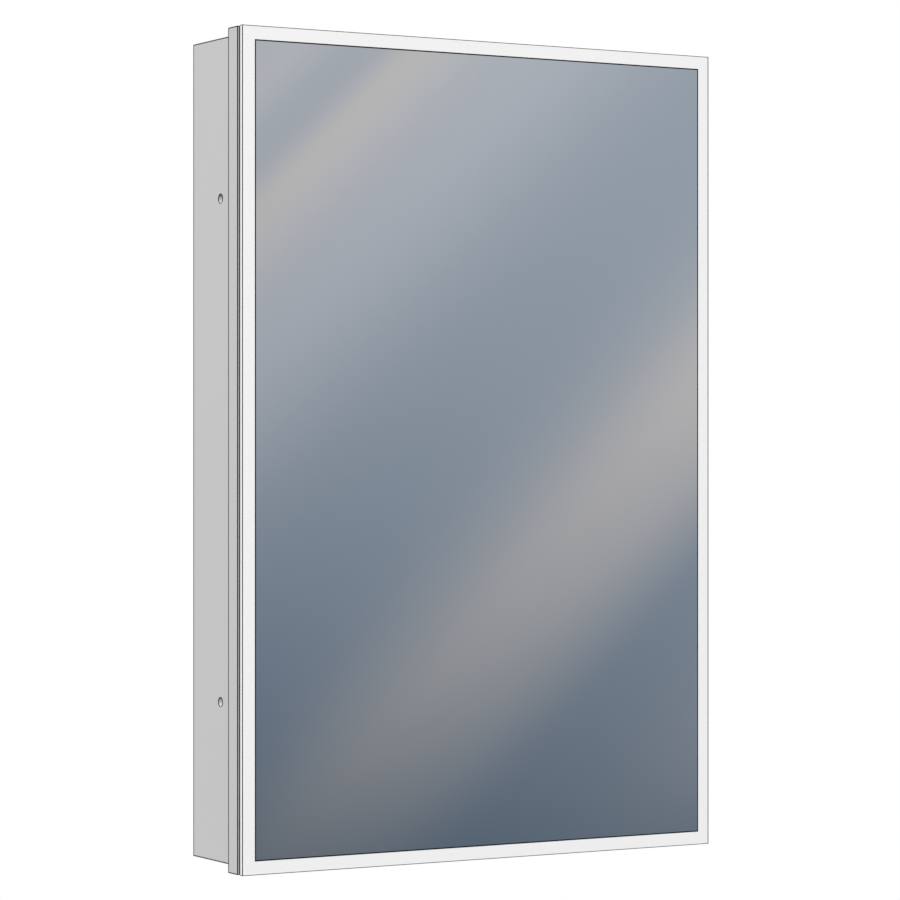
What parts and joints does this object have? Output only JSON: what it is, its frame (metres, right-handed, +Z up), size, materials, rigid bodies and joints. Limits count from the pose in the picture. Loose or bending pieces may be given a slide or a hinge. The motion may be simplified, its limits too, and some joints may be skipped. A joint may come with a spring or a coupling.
{
  "type": "lighted mirror cabinet",
  "caption": "Wall-niche cabinet with a light-framed mirror door on hidden hinges, glass shelves, driver compartment and push buttons.",
  "frame": {"origin": "centre of the body's rear face, which bears on the back of the wall niche", "axes": "+X to the right seen from the front, +Y into the wall, +Z up"},
  "size_m": [0.504, 0.1137, 0.762],
  "materials": {
    "body_aluminium": "satin anodised",
    "frame_aluminium": "satin anodised",
    "raw_aluminium": "mill finish",
    "cover_paint": "light grey powder coat",
    "mirror": "silvered glass",
    "shelf_glass": "clear, ground edges",
    "opal": "opal diffuser",
    "rubber": "matt",
    "light_board": "white board with light chips",
    "white_plastic": "fine matt",
    "steel": "zinc plated",
    "bright_metal": "nickel plated"
  },
  "bodies": {
    "cabinet": {"back_panel": "body_aluminium", "base_screws": "steel", "body_corner_keys": "raw_aluminium", "body_wall_bottom": "body_aluminium", "body_wall_left": "body_aluminium", "body_wall_right": "body_aluminium", "body_wall_top": "body_aluminium", "cable_grommet": "rubber", "catch_magnets": "bright_metal", "cover_brackets": "cover_paint", "cover_screws": "steel", "driver_screws": "steel", "gear_cover": "cover_paint", "hinge_base_lower": "steel", "hinge_base_upper": "steel", "inner_mirror": "mirror", "led_driver": "white_plastic", "shelf_lower": "shelf_glass", "shelf_middle": "shelf_glass", "shelf_pins": "bright_metal", "shelf_upper": "shelf_glass", "switch_housing": "white_plastic", "terminal_block": "white_plastic"},
    "door": {"back_mirror": "mirror", "door_bumpers": "rubber", "door_frame_bottom": "frame_aluminium", "door_frame_left": "frame_aluminium", "door_frame_right": "frame_aluminium", "door_frame_top": "frame_aluminium", "frame_corner_keys": "raw_aluminium", "hinge_leaf_lower": "steel", "hinge_leaf_upper": "steel", "hinge_pin_lower": "bright_metal", "hinge_pin_upper": "bright_metal", "leaf_screws": "steel", "led_strip_bottom": "light_board", "led_strip_left": "light_board", "led_strip_right": "light_board", "led_strip_top": "light_board", "light_border": "opal", "mirror_carrier": "raw_aluminium", "mirror_glass": "mirror", "shadow_gasket": "rubber", "strike_plates": "steel"},
    "power_button": {"power_button": "white_plastic"},
    "dimmer_button": {"dimmer_button": "white_plastic"}
  },
  "joints": [
    {"name": "door_swing", "type": "hinge", "parent": "cabinet", "child": "door", "pos_m": [0.24575, -0.093, 0], "axis": [0, 0, 1], "range_deg": [0, 100]},
    {"name": "power_press", "type": "slide", "parent": "cabinet", "child": "power_button", "axis": [0, 1, 0], "range_m": [0, 0.0015], "stiffness_N_per_m": 400},
    {"name": "dimmer_press", "type": "slide", "parent": "cabinet", "child": "dimmer_button", "axis": [0, 1, 0], "range_m": [0, 0.0015], "stiffness_N_per_m": 400}
  ]
}
